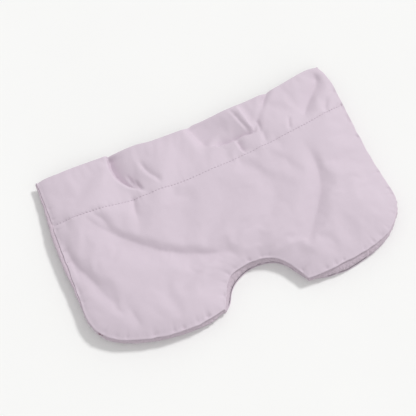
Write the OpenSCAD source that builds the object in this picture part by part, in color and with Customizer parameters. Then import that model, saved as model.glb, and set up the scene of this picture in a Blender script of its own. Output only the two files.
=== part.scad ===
// Eye pillow: a washable cloth case with a wide hemmed mouth and a notch for the nose,
// and inside it a seed-filled insert that slides out through the mouth.
// Millimetres. X runs along the mouth, +Y points out of the mouth, +Z is up and Z = 0 is the underside.

/* [Case] */
// Width of the case across the lobes
case_w = 242; // [225:1:265]
// Width of the case at its mouth
mouth_w = 234; // [215:1:250]
// Length from the mouth to the foot of the lobes
case_l = 152; // [140:1:170]
// Height of the case along its middle
case_h = 15; // [13:0.5:18]
// How much lower the sides are than the middle
crown = 4; // [2:0.5:5]
// Thickness of one layer of cloth
cloth = 0.5; // [0.3:0.1:0.6]

/* [Hem] */
// Width of the hem that is turned in at the mouth
hem_w = 38; // [30:1:42]
// Distance of the stitches from the hem's inner fold
stitch_inset = 1.5; // [1:0.5:3]
// Distance from one hem stitch to the next
stitch_pitch = 2.5; // [2:0.1:4]

/* [Lobes and nose notch] */
// Radius of each lobe's long lower edge
lobe_r = 127; // [110:1:140]
// Distance of each lobe's lowest point from the middle
lobe_x = 50; // [45:1:55]
// Radius of the outer lower corners
corner_r = 33; // [25:1:38]
// Width of the nose notch between its two points
notch_w = 64; // [50:1:74]
// Height of the nose notch above the foot of the lobes
notch_h = 29.5; // [25:0.5:35]
// Radius of the notch's round top, as a share of half its width
notch_share = 0.875; // [0.8:0.025:0.95]

/* [Insert] */
// Play between the insert and the case's seams
play = 1; // [0.5:0.5:3]
// Radius of the insert's corners at the mouth end
insert_corner_r = 9; // [4:1:14]
// Length of the seam that closes the filling gap
closing_l = 60; // [40:5:80]

/* [Hidden] */

lilac = [0.84, 0.78, 0.83];
lilac_shade = [0.76, 0.70, 0.75];
thread_lilac = [0.66, 0.58, 0.65];
calico = [0.93, 0.91, 0.85];
calico_thread = [0.98, 0.97, 0.93];
label_white = [0.97, 0.97, 0.96];
seed_brown = [0.45, 0.30, 0.17];

mouth_y = case_l / 2;
foot_y = -case_l / 2;
hem_y = mouth_y - hem_w;
hem_stitch_y = hem_y + stitch_inset;
span = max(case_w, mouth_w);
far = 2 * case_w;                    // a cutting shape this long reaches past every edge
past = 1;                            // and one that stops at a face goes this far past it
overlock_t = 1;                      // two layers of cloth bound with thread
overlock_w = 4;
thread_r = 0.2;
stitch_l = 0.72 * stitch_pitch;
side_stitches = 3;
label_l = 22;
label_w = 15;
label_t = 0.4;
label_gap = 3;                       // from the label to the hem
arc_steps = 14;                      // straight pieces in each round stretch of the outline
vault_steps = 24;                    // straight pieces across the arched top

// The lower lobe edge is an arc about lobe_c, the outer corner an arc about corner_c that meets it smoothly,
// and the side is a straight line from the mouth corner that meets the outer corner smoothly.
lobe_c = [lobe_x, foot_y + lobe_r];
corner_x = case_w / 2 - corner_r;
corner_c = [corner_x, lobe_c.y - sqrt(pow(lobe_r - corner_r, 2) - pow(corner_x - lobe_c.x, 2))];
mouth_arm = [mouth_w / 2, mouth_y] - corner_c;
side_a = atan2(mouth_arm.y, mouth_arm.x) - acos(corner_r / norm(mouth_arm));
corner_a = atan2(corner_c.y - lobe_c.y, corner_c.x - lobe_c.x);

// The nose notch is a round top with a straight flare down to a sharp point on each lobe.
notch_r = notch_share * notch_w / 2;
notch_c = [0, foot_y + notch_h - notch_r];
notch_point = [notch_w / 2, lobe_c.y - sqrt(pow(lobe_r, 2) - pow(notch_w / 2 - lobe_x, 2))];
point_arm = notch_point - notch_c;
flare_a = atan2(point_arm.y, point_arm.x) + acos(notch_r / norm(point_arm));

// The insert
insert_inset = cloth + overlock_t + play;
hem_play = 0.5;                      // between the insert and the doubled cloth of the hem
insert_half_w = mouth_w / 2 - 2 * cloth - 0.8;
insert_top_y = hem_y - 1.5;
insert_z = 2 * cloth + hem_play;
insert_drop = insert_z;              // its top lies as far below the outside of the case
insert_cloth = 0.4;
insert_seam_w = 1;
insert_seam_t = 0.8;
insert_seam_z = (insert_z + case_h - crown - insert_drop) / 2;

function unit(a) = [cos(a), sin(a)];
function arc(c, r, from, to) = [for (i = [0:arc_steps]) c + r * unit(from + (to - from) * i / arc_steps)];

// Where the notch's flare meets the lobe edge, with the whole outline moved in by d
function point_at(d) =
    let (start = notch_c + (notch_r + d) * unit(flare_a),
         way = [sin(flare_a), -cos(flare_a)],
         g = start - lobe_c,
         along = g * way)
    start + way * (sqrt(along * along - g * g + pow(lobe_r - d, 2)) - along);

// Where the side meets the line y = top, with the whole outline moved in by d
function side_at(d, top) =
    let (start = corner_c + (corner_r - d) * unit(side_a))
    start + [-sin(side_a), cos(side_a)] * (top - start.y) / cos(side_a);

function half_outline(d, top) =
    let (point = point_at(d) - lobe_c)
    concat(arc(notch_c, notch_r + d, 90, flare_a),
        arc(lobe_c, lobe_r - d, atan2(point.y, point.x), corner_a),
        arc(corner_c, corner_r - d, corner_a, side_a),
        [side_at(d, top)]);

function outline(d, top) =
    let (half = half_outline(d, top), last = len(half) - 1)
    concat(half, [for (i = [last:-1:1]) [-half[i].x, half[i].y]]);

// The top is arched across the case and straight along it
function vault_z(x, drop) = case_h - crown * pow(2 * x / span, 2) - drop;
function vault_slope(x) = atan(8 * crown * x / pow(span, 2));
function vault_line(drop) =
    [for (i = [0:vault_steps]) let (x = span * (i / vault_steps - 0.5)) [x, vault_z(x, drop)]];
function reversed(list) = [for (i = [len(list) - 1:-1:0]) list[i]];

// What lies between two arched surfaces, each a given drop below the outside of the case
module between_vaults(drop_top, drop_bottom) {
    rotate([90, 0, 0])
        linear_extrude(far, center = true)
            polygon(concat(vault_line(drop_bottom), reversed(vault_line(drop_top))));
}

// What lies above z and below an arched surface
module under_vault(z, drop) {
    rotate([90, 0, 0])
        linear_extrude(far, center = true)
            polygon(concat([[-span / 2, z], [span / 2, z]], reversed(vault_line(drop))));
}

module plate(d, top, z, t) {
    translate([0, 0, z])
        linear_extrude(t)
            polygon(outline(d, top));
}

// The wall between two outlines, open at the mouth end
module wall(d, t, top) {
    linear_extrude(case_h)
        difference() {
            polygon(outline(d, top));
            polygon(outline(d + t, top + past));
        }
}

module hem_zone() {
    translate([-far / 2, hem_y, -past])
        cube([far, hem_w + past, case_h + 2 * past]);
}

// One stitch half sunk in a surface, turned about Y from upright
module stitch(at, turn) {
    translate(at)
        rotate([0, turn, 0])
            cylinder(r = thread_r, h = stitch_l, center = true, $fn = 16);
}

// The middle of each stitch in a row across the case
function stitch_places(half_length) =
    let (count = floor(half_length / stitch_pitch))
    [for (i = [-count:count]) i * stitch_pitch];

module flat_stitch_row(half_length, y, z) {
    for (x = stitch_places(half_length))
        stitch([x, y, z], 90);
}

module case_front_panel() {
    color(lilac) {
        intersection() {
            plate(0, mouth_y, 0, case_h + past);
            between_vaults(0, cloth);
        }
        intersection() {
            plate(2 * cloth, mouth_y, 0, case_h + past);
            between_vaults(cloth, 2 * cloth);
            hem_zone();
        }
    }
}

module case_back_panel() {
    color(lilac_shade) {
        plate(0, mouth_y, 0, cloth);
        intersection() {
            plate(2 * cloth, mouth_y, cloth, cloth);
            hem_zone();
        }
    }
}

module side_band() {
    color(lilac_shade)
        intersection() {
            union() {
                wall(0, cloth, mouth_y);
                intersection() {
                    wall(cloth, cloth, mouth_y);
                    hem_zone();
                }
            }
            under_vault(cloth, cloth);
        }
}

module upper_seam_overlock() {
    color(thread_lilac)
        intersection() {
            wall(cloth, overlock_t, hem_y);
            between_vaults(cloth, cloth + overlock_w);
        }
}

module lower_seam_overlock() {
    color(thread_lilac)
        intersection() {
            wall(cloth, overlock_t, hem_y);
            translate([0, 0, cloth])
                linear_extrude(overlock_w)
                    polygon(outline(0, mouth_y));
        }
}

module hem_stitching_front() {
    color(thread_lilac)
        for (x = stitch_places(mouth_w / 2 - 2))
            stitch([x, hem_stitch_y, vault_z(x, 0)], 90 + vault_slope(x));
}

module hem_stitching_back() {
    color(thread_lilac)
        flat_stitch_row(mouth_w / 2 - 2, hem_stitch_y, 2 * cloth);
}

module hem_stitching_sides() {
    color(thread_lilac)
        for (side = [-1, 1], i = [0:side_stitches - 1])
            stitch([side * side_at(0, hem_stitch_y).x, hem_stitch_y, (i + 1) * stitch_pitch], 0);
}

// A blank fabric tag, caught in the lower side seam and lying on the back panel
module care_label() {
    color(label_white)
        translate([-side_at(cloth, hem_y - label_gap).x, hem_y - label_gap - label_w, cloth])
            cube([label_l, label_w, label_t]);
}

// The insert's outline, moved in by d: the case's own lobes and notch, and rounded corners at the mouth end
module insert_shape(d) {
    r = insert_corner_r - d;
    x = insert_half_w - d;
    y = insert_top_y - d;
    intersection() {
        polygon(outline(insert_inset + d, hem_y));
        polygon(concat([[-x, foot_y], [x, foot_y]],
            arc([x - r, y - r], r, 0, 90), arc([r - x, y - r], r, 90, 180)));
    }
}

module insert_prism(d, z) {
    translate([0, 0, z])
        linear_extrude(case_h - z)
            insert_shape(d);
}

module insert_front_panel() {
    color(calico)
        difference() {
            intersection() {
                insert_prism(insert_seam_w, insert_seam_z);
                under_vault(0, insert_drop);
            }
            intersection() {
                insert_prism(insert_seam_w + insert_cloth, 0);
                under_vault(0, insert_drop + insert_cloth);
            }
        }
}

module insert_back_panel() {
    color(calico)
        translate([0, 0, insert_z])
            difference() {
                linear_extrude(insert_seam_z - insert_z)
                    insert_shape(insert_seam_w);
                translate([0, 0, insert_cloth])
                    linear_extrude(case_h)
                        insert_shape(insert_seam_w + insert_cloth);
            }
}

module insert_seam() {
    color(calico_thread)
        translate([0, 0, insert_seam_z - insert_seam_t / 2])
            linear_extrude(insert_seam_t)
                difference() {
                    insert_shape(0);
                    insert_shape(insert_seam_w);
                }
}

module insert_closing_stitches() {
    color(calico_thread)
        flat_stitch_row(closing_l / 2, insert_top_y - insert_seam_w / 2, insert_seam_z + insert_seam_t / 2);
}

module seed_fill() {
    color(seed_brown)
        intersection() {
            insert_prism(insert_seam_w + insert_cloth, insert_z + insert_cloth);
            under_vault(0, insert_drop + insert_cloth);
        }
}

case_front_panel();
case_back_panel();
side_band();
upper_seam_overlock();
lower_seam_overlock();
hem_stitching_front();
hem_stitching_back();
hem_stitching_sides();
care_label();
insert_front_panel();
insert_back_panel();
insert_seam();
insert_closing_stitches();
seed_fill();
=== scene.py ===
"""An eye pillow: a lilac cloth case with a wide hem and a nose notch, round a seed-filled insert.

Lengths are in millimetres and are turned into metres as each mesh is made. X runs along the mouth,
+Y points out of it, +Z is up and Z = 0 is the underside, as in the CAD model.
"""
import math

import bpy
import numpy as np
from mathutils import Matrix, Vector, noise
from mathutils.bvhtree import BVHTree
from mathutils.kdtree import KDTree
from mathutils.geometry import delaunay_2d_cdt


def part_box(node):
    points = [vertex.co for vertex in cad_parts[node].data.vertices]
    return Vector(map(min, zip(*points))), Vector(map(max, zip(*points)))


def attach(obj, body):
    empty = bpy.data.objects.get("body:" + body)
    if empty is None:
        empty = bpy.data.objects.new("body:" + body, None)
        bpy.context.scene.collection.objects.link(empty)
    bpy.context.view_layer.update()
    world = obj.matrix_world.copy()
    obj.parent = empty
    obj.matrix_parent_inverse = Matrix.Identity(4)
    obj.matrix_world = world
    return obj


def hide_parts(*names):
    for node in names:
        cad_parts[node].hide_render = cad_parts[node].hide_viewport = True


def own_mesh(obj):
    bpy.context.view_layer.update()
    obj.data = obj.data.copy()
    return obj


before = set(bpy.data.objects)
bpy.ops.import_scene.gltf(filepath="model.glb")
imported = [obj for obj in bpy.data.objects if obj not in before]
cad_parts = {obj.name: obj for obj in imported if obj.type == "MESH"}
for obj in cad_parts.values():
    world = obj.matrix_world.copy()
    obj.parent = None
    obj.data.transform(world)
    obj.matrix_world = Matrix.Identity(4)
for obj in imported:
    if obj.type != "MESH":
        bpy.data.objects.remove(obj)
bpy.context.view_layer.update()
MM = 0.001


def box_mm(node):
    return [np.array(corner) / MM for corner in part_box(node)]


# ======== sizes
# The boxes are read from the frame. The outline's other sizes are those of the CAD model.
CASE_LOW, CASE_HIGH = box_mm("case_front_panel")
INSERT_HIGH = box_mm("insert_seam")[1]
HALF_W, MOUTH_Y = CASE_HIGH[:2]
FOOT_Y = CASE_LOW[1]
INSERT_Z = box_mm("insert_back_panel")[0][2]
STITCH_Y = sum(corner[1] for corner in box_mm("hem_stitching_front")) / 2
STITCH_INSET = 1.5     # from the hem's inner fold to its stitches
HEM_W = MOUTH_Y - STITCH_Y + STITCH_INSET
MOUTH_HALF_W = 117.0
LOBE_X = 50.0
LOBE_R = 127.0
CORNER_R = 33.0
NOTCH_HALF_W = 32.0
NOTCH_H = 29.5
NOTCH_R = 28.0

CLOTH_T = 0.45
GRID = 1.0             # between the points of the front panel
BACK_GRID = 1.7        # of the back panel
POUCH_GRID = 2.0       # of the insert
SIM_GRID = 2.6         # and of the coarser front panel that is simulated
STITCH_PITCH = 2.5
BEAD_R = 0.7           # radius of the turned edge of a panel along its seam
FRONT_SEAM_Z = 8.6     # height of the seam between front panel and band
BACK_SEAM_Z = 1.3      # and of the seam between band and back panel
BAND_ROWS = 14
BAND_W = 10.0          # of the band, with its seam allowances
OVERLOCK_W = 3.6
OVERLOCK_STEP = 1.1    # from one loop of its thread to the next


# ======== small helpers
def smooth(low, high, x):
    """0 up to low, 1 from high, and a smooth step between them."""
    t = np.clip((np.asarray(x, float) - low) / (high - low), 0, 1)
    return t * t * (3 - 2 * t)


def eased(x, places, values):
    """Values between those at some places, with a smooth step from each place to the next."""
    x = np.asarray(x, float)
    found = np.full(x.shape, float(values[0]))
    for low, high, a, b in zip(places, places[1:], values, values[1:]):
        found += (b - a) * smooth(low, high, x)
    return found


def bell(x, width):
    return np.exp(-np.square(np.asarray(x, float) / width))


def unit(degrees):
    return np.array([math.cos(math.radians(degrees)), math.sin(math.radians(degrees))])


def angle_of(way):
    return math.degrees(math.atan2(way[1], way[0]))


def rough(points, size, seed):
    """Smooth noise from about -1 to 1 with lumps of the given size."""
    shift = Vector((seed * 17.3, seed * 5.1, seed * 3.7))
    return np.array([noise.noise(Vector(p) / size + shift) for p in points])


def with_z(xy, z):
    return np.column_stack([xy, np.broadcast_to(z, len(xy))])


def rough_along(place, size, seed):
    """The same noise along a line."""
    return rough(np.column_stack([place, 0 * place, 0 * place]), size, seed)


def lift_z(z):
    """Moves straight up, one for each height given."""
    return np.column_stack([0 * z, 0 * z, z])


def lengths_along(points):
    """How far along a line of points each of them is."""
    return np.concatenate([[0], np.cumsum(np.linalg.norm(np.diff(points, axis=0), axis=1))])


def shifted(faces, by):
    """Faces whose points have moved up by so many places in a list."""
    return [tuple(i + by for i in face) for face in faces]


def grid_faces(rows, count, closed=False):
    """Faces between rows of as many points each. In closed rows the last point meets the first."""
    steps = count if closed else count - 1
    return [(r * count + i, r * count + (i + 1) % count,
             (r + 1) * count + (i + 1) % count, (r + 1) * count + i)
            for r in range(rows - 1) for i in range(steps)]


# ======== outlines
def arc(centre, radius, start, end, count):
    """Points on an arc, without its last one."""
    return [centre + radius * unit(start + (end - start) * i / count) for i in range(count)]


def line(start, end, count):
    """Points on a straight line, without its last one."""
    return [start + (end - start) * i / count for i in range(count)]


def resampled(points, step):
    """Points at even steps along a line through the given points."""
    points = np.asarray(points, float)
    place = lengths_along(points)
    at = np.linspace(0, place[-1], max(2, round(place[-1] / step) + 1))
    return np.column_stack([np.interp(at, place, column) for column in points.T])


LOBE_C = np.array([LOBE_X, FOOT_Y + LOBE_R])
NOTCH_C = np.array([0, FOOT_Y + NOTCH_H - NOTCH_R])


def flare(inset):
    """Start, end and angle of the straight stretch from the notch's round top to a lobe's tip."""
    tip_drop = math.sqrt(LOBE_R**2 - (NOTCH_HALF_W - LOBE_X) ** 2)
    reach = np.array([NOTCH_HALF_W, LOBE_C[1] - tip_drop]) - NOTCH_C
    angle = angle_of(reach) + math.degrees(math.acos(NOTCH_R / np.linalg.norm(reach)))
    start = NOTCH_C + (NOTCH_R + inset) * unit(angle)
    way = unit(angle - 90)
    gap = start - LOBE_C
    along = gap @ way
    length = math.sqrt(along**2 - gap @ gap + (LOBE_R - inset) ** 2) - along
    return start, start + way * length, angle


# How many straight pieces there are in each stretch of half an outline
NOTCH_STEPS = 80
FLARE_STEPS = 26
LOBE_STEPS = 160
CORNER_STEPS = 60
OPEN_SIDE_STEPS = 100
CLOSED_SIDE_STEPS = 42
TOP_CORNER_STEPS = 10
TOP_STEPS = 70


class Outline:
    """The seam line of a pouch with two lobes and a nose notch. An open one runs from the left
    mouth corner round the foot to the right one, and a closed one round the top edge as well."""

    def __init__(self, inset, half_w, mouth_half_w, mouth_y, top_r=None):
        self.inset = inset
        self.half_w = half_w
        self.mouth_half_w = mouth_half_w
        self.mouth_y = mouth_y
        self.top_r = top_r
        self.closed = top_r is not None
        self.points = self.at(0)
        self.out = self.at(-0.5) - self.at(0.5)      # a millimetre outwards, mitred at the tips
        ends = self.points[:1] if self.closed else self.points[:0]
        self.loop = np.concatenate([self.points, ends])
        self.place = lengths_along(self.loop)

    def at(self, more):
        """The line moved in by more. Its points keep their order and number."""
        inset = self.inset + more
        corner_r = CORNER_R - self.inset
        corner_c, corner_a, side_a = self.corner(corner_r)
        flare_start, tip, flare_a = flare(inset)
        right = arc(NOTCH_C, NOTCH_R + inset, 90, flare_a, NOTCH_STEPS)
        right += line(flare_start, tip, FLARE_STEPS)
        right += arc(LOBE_C, LOBE_R - inset, angle_of(tip - LOBE_C), corner_a, LOBE_STEPS)
        right += arc(corner_c, corner_r - more, corner_a, side_a, CORNER_STEPS)
        side_start = corner_c + (corner_r - more) * unit(side_a)
        if self.closed:
            return self.closed_at_top(right, side_start, more)
        side_way = unit(side_a + 90)
        side_end = side_start + side_way * (self.mouth_y - side_start[1]) / side_way[1]
        right = np.array(right + line(side_start, side_end, OPEN_SIDE_STEPS) + [side_end])
        return np.concatenate([right[:0:-1] * [-1, 1], right])

    def corner(self, corner_r):
        """Centre of the outer lower corner, and the angles where it meets the lobe and the side."""
        corner_x = self.half_w - corner_r
        between = LOBE_R - self.inset - corner_r
        centre = np.array([corner_x, LOBE_C[1] - math.sqrt(between**2 - (corner_x - LOBE_X) ** 2)])
        arm = np.array([self.mouth_half_w, self.mouth_y]) - centre
        side_a = angle_of(arm) - math.degrees(math.acos(corner_r / np.linalg.norm(arm)))
        return centre, angle_of(centre - LOBE_C), side_a

    def closed_at_top(self, right, side_start, more):
        """The whole line, from its right half up to the start of the side."""
        top_c = np.array([self.mouth_half_w - self.top_r, self.mouth_y - self.top_r])
        top_r = self.top_r - more
        top_middle = np.array([0, top_c[1] + top_r])
        right = right + line(side_start, top_c + [top_r, 0], CLOSED_SIDE_STEPS)
        right += arc(top_c, top_r, 0, 90, TOP_CORNER_STEPS)
        right += line(top_c + [0, top_r], top_middle, TOP_STEPS)
        left = np.array(right[1:])[::-1] * [-1, 1]
        return np.concatenate([[top_middle], left, right])

    def nearest(self, points):
        """How far each point is from the line, and how far along the line its nearest place is."""
        a, way = self.loop[:-1], np.diff(self.loop, axis=0)
        length2 = (way**2).sum(1)
        gaps, places = [], []
        for part in np.array_split(points, max(1, len(points) // 2000)):
            p = part[:, None, :]
            t = np.clip(((p - a) * way).sum(2) / length2, 0, 1)
            gap = np.linalg.norm(p - a - t[..., None] * way, axis=2)
            k = gap.argmin(1)
            rows = np.arange(len(k))
            gaps.append(gap[rows, k])
            places.append(self.place[k] + t[rows, k] * np.sqrt(length2[k]))
        return np.concatenate(gaps), np.concatenate(places)

    def soft_gap(self, points, gap):
        """Nearly the distance from the line, but without a crease between two sides."""
        step = 2.0
        marks = resampled(self.loop, step)
        found = []
        for part in np.array_split(points, max(1, len(points) // 2000)):
            away = np.linalg.norm(part[:, None, :] - marks, axis=2)
            found.append((2 / math.pi * (step * away**-4.0).sum(1)) ** (-1 / 3))
        near = smooth(2, 5, gap)
        return gap * (1 - near) + np.concatenate(found) * near


def inside(points, polygon):
    """Which points lie in a polygon."""
    x, y = points.T
    found = np.zeros(len(points), bool)
    for (x0, y0), (x1, y1) in zip(polygon, np.roll(polygon, -1, axis=0)):
        if y0 != y1:
            found ^= ((y0 > y) != (y1 > y)) & (x < (x1 - x0) * (y - y0) / (y1 - y0) + x0)
    return found


POUCH_INSET = 2.5      # of the insert's seam from the case's
POUCH_CORNER_R = 9
CASE = Outline(0, HALF_W, MOUTH_HALF_W, MOUTH_Y)
POUCH = Outline(POUCH_INSET, INSERT_HIGH[0], INSERT_HIGH[0], INSERT_HIGH[1], top_r=POUCH_CORNER_R)

FINE_COLUMNS = 4       # of points for each stitch, near the hem stitches
FINE_ROWS = (-1.1, -0.55, 0, 0.55, 1.1)      # beside the line of stitches
FINE_REACH = 1.7       # the coarser points keep this far from it


def fine_cells(y):
    """Closer points along a line of stitches."""
    x = np.arange(-60, 61) * STITCH_PITCH
    x = np.concatenate([x + k * STITCH_PITCH / FINE_COLUMNS for k in range(FINE_COLUMNS)])
    return [np.column_stack([x, np.full(len(x), y + dy)]) for dy in FINE_ROWS]


def inner_cells(outline, border, inset, grid, fine_y):
    """Points in staggered rows inside a border, and closer ones along the line at fine_y."""
    xs = np.arange(-outline.half_w, outline.half_w, grid)
    ys = np.arange(FOOT_Y, outline.mouth_y - grid * 0.4, grid)
    cells = np.array([[x + (j % 2) * grid / 2, y] for j, y in enumerate(ys) for x in xs])
    if fine_y is not None:
        cells = cells[np.abs(cells[:, 1] - fine_y) > FINE_REACH]
        cells = np.concatenate([cells] + fine_cells(fine_y))
    cells = cells[inside(cells, border)]
    return cells[outline.nearest(cells)[0] > inset + grid * 0.55]


class Panel:
    """A flat cut: strips that follow the outline at the given insets, and a grid inside them.

    flat holds each point's place in the cut, gap its distance from the outline and place how far
    along the outline it is. rings is how many points the strips have, and mouth lists the points
    along an open mouth."""

    def __init__(self, outline, insets, grid, fine_y=None):
        count = len(outline.points)
        strips = [outline.points - outline.out * d for d in insets]
        border = strips[-1]
        across = []
        if not outline.closed:
            parts = round((border[-1][0] - border[0][0]) / grid)
            across = line(border[-1], border[0], parts)[1:]
            border = np.concatenate([border, across])
        cells = inner_cells(outline, border, insets[-1], grid, fine_y)
        points = [Vector(p) for p in np.concatenate([border, cells])]
        made = delaunay_2d_cdt(points, [], [list(range(len(border)))], 1, 1e-6)
        first = (len(strips) - 1) * count
        self.flat = np.concatenate(strips[:-1] + [np.array([list(p) for p in made[0]])])
        self.faces = grid_faces(len(strips), count, outline.closed) + shifted(made[2], first)
        self.rings = len(strips) * count
        self.gap, self.place = outline.nearest(self.flat)
        self.gap[: self.rings] = np.repeat(insets, count)
        self.place[: self.rings] = np.tile(outline.place[:count], len(strips))
        if not outline.closed:
            left = [r * count for r in range(len(strips))]
            row = [first + count + i for i in range(len(across))][::-1]
            right = [r * count + count - 1 for r in reversed(range(len(strips)))]
            self.mouth = left + row + right


# ======== the case's shape
# A turned edge goes round a bead: from the seam under it, round its outside and onto the panel.
BEAD_TURNS = np.array([-75, -45, -15, 15, 42, 66, 90])
BEAD_INSETS = BEAD_R * (1 - np.cos(np.radians(BEAD_TURNS)))
BEAD_RISES = BEAD_R * (1 + np.sin(np.radians(BEAD_TURNS)))
BEAD_CUTS = BEAD_R - BEAD_R * np.radians(90 - BEAD_TURNS)      # the same places in the flat cut
CREASE_INSET = BEAD_INSETS[0]
FILL_H = 4.4           # how far the insert lifts the front panel above its edge


def left_side(place):
    """1 along the left side, and 0 past the lower left corner."""
    return smooth(120, 98, place)


def edge_size(place):
    """How thick the turned edge is, with the one round the foot as 1. The sides' is thinner."""
    from_mouth = np.minimum(place, CASE.place[-1] - place)
    return 1 - 0.65 * smooth(120, 98, from_mouth)


def near_tip(x, y, side):
    """1 at the notch's left (-1) or right (1) tip, and 0 away from it."""
    return bell(x - side * NOTCH_HALF_W, 13) * smooth(-45, -62, y)


# How far the laid cloth has moved from its cut: places across or along the case, and each move.
HEM_SAG = ([-50, 0, STITCH_Y, MOUTH_Y], [0, 4, 9, 5])
FOOT_LIFT = ([-120, -108, -60, -28, 0, 34, 62, 84, 100, 112],
             [0.4, 1.8, 2.4, 4.6, 0.7, 1.4, 1.8, 0, -1.2, 0.6])
RIGHT_BOW = ([-56, -46, -34, -5, 13, 24, 33, 45, 60, 68, 76],
             [0.5, 0, -1.7, -2.0, -0.9, 0, 0.5, 1.8, 3.2, 2.4, 0.2])
MOUTH_RISE = ([-117, -100, -40, -25, 0, 10, 60, 106, 117],
              [2.8, 1.4, 1.9, 0.2, -0.4, 1.3, 0.6, 1.6, 0])
LEFT_LEAN = ([-44, 0, 30, 56, 76], [-0.8, -0.3, -0.3, 0.6, 0.2])
BACK_BOW = ([-50, -34, -5, 24, 45], [0.4, -1.8, -2.2, -0.2, 0.8])
BACK_SIDEWAYS = ([-75, -34, -24, -10, 5, 32, 75], [0, 2.4, 3.4, 5, 5, 3, 0])
BACK_LIFT = ([-118, -105, -46, -34, -26, 0, 24, 34, 50, 66, 96, 108, 120],
             [0, 2.2, 2.4, 4.6, -0.6, -1.8, -0.6, 1.6, -1.0, -2.7, -3.0, -0.6, 0])
BAND_BULGE = ([-50, -15, 5, 25, 42, 60, 76], [0.8, 1.8, 3.6, 3.8, 3.2, 2.0, 1.2])
RIGHT_RISE = 3         # of the right side near the mouth
LEFT_FALL = 1.5        # of the left side near the mouth, and once more at its corner
NOTCH_SHIFT = 3        # of the notch to the right
WOBBLE = 0.5           # unevenness of the seam


def drift(xy, place, gap):
    """How the upper cloth has moved from where it was cut: down at the hem, and up at the foot."""
    x, y = xy.T
    foot = smooth(-30, -55, y)
    near_seam = np.exp(-gap / 12)
    middle = np.clip(1 - (x / MOUTH_HALF_W) ** 2, 0, 1)
    sag = np.interp(y, *HEM_SAG) * middle
    right = RIGHT_RISE * smooth(70, 117, x) * smooth(10, 60, y)
    left = -LEFT_FALL * smooth(-80, -117, x) * smooth(20, 50, y)
    left -= LEFT_FALL * smooth(-104, -118, x) * smooth(55, 76, y)
    bow = eased(y, *RIGHT_BOW) * smooth(85, 117, x)
    mouth = eased(x, *MOUTH_RISE) * smooth(58, 76, y)
    lean = eased(y, *LEFT_LEAN) * smooth(-100, -117, x) * near_seam
    sideways = lean + bow + NOTCH_SHIFT * bell(x, 44) * foot
    upwards = right + left - sag + eased(x, *FOOT_LIFT) * foot + mouth
    wobble = [rough_along(place, size=7, seed=41), rough_along(place, size=6, seed=42)]
    wobble = WOBBLE * np.column_stack(wobble) * np.exp(-gap / 5)[:, None]
    return np.column_stack([sideways, upwards]) + wobble


def drift_below(xy):
    """The same for the back panel, which lies on the table."""
    x, y = xy.T
    foot = smooth(-30, -50, y)
    sag = 3 * smooth(0, MOUTH_Y, y) * np.clip(1 - (x / MOUTH_HALF_W) ** 2, 0, 1)
    corner = 2 * smooth(70, 117, x) * smooth(10, 60, y)
    corner -= 3 * smooth(-95, -118, x) * smooth(45, 76, y)
    bow = eased(y, *BACK_BOW) * smooth(85, 117, x)
    sideways = eased(x, *BACK_SIDEWAYS) * foot
    return np.column_stack([sideways + bow, eased(x, *BACK_LIFT) * foot + corner - sag])


def seam_height(x, y):
    """Height of the seam between front panel and band."""
    low = 2.6 * smooth(25, MOUTH_Y, y) + 1.2 * (near_tip(x, y, -1) + near_tip(x, y, 1))
    return FRONT_SEAM_Z - low + 0.6 * smooth(-104, -116, x) * smooth(-62, -48, y)


def rim_of(panel):
    """Which strip each of the panel's border points is in, and its point of the outline."""
    count = len(CASE.points)
    return np.arange(panel.rings) // count, np.arange(panel.rings) % count


EDGE_FADE = 5          # how far from the edge its own thickness still counts
HEM_DROP = 1.3         # how much less the insert lifts the hem
FOOT_DROP = 0.9        # and the lobes
FILL_REACH = 12        # how far from the edge the lifting reaches
RIGHT_REACH = 12       # and how much further on the right


def fill_height(panel, depth):
    """How far the insert lifts the panel, with its lumps. depth is the distance from the edge."""
    x, y = panel.flat.T
    foot = smooth(-15, -50, y)
    fill = FILL_H - HEM_DROP * smooth(34, 62, y) - FOOT_DROP * foot
    reach = (FILL_REACH + RIGHT_REACH * smooth(30, 90, x)) * (1 - 0.5 * foot)
    place = with_z(panel.flat, 0)
    lumps = 0.6 * rough(place, size=34, seed=1) + 0.25 * rough(place, size=12, seed=2)
    lumps += 0.07 * rough(place, size=5, seed=3)
    return fill * (1 - np.exp(-((depth / reach) ** 1.2))) + smooth(0, 14, depth) * lumps


def front_shape(panel):
    """The front panel's points, laid over the insert."""
    xy = panel.flat.copy()
    gap = panel.gap.copy()
    size = 1 - (1 - edge_size(panel.place)) * np.exp(-panel.gap / EDGE_FADE)
    rings, which = rim_of(panel)
    gap[: panel.rings] = BEAD_INSETS[rings] * size[: panel.rings]
    xy[: panel.rings] = CASE.points[which] - CASE.out[which] * gap[: panel.rings, None]
    x, y = panel.flat.T
    z = seam_height(x, y) + 2 * BEAD_R * size
    z[: panel.rings] = seam_height(*CASE.points[which].T) + BEAD_RISES[rings] * size[: panel.rings]
    depth = np.maximum(CASE.soft_gap(panel.flat, panel.gap) - BEAD_R, 0)
    depth[: panel.rings] = 0
    z += fill_height(panel, depth)
    z -= 0.35 * left_side(panel.place) * bell(depth - 0.8, 0.8) * (depth > 0)
    return with_z(xy + drift(xy, panel.place, gap), 0) + lift_z(z)


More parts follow.
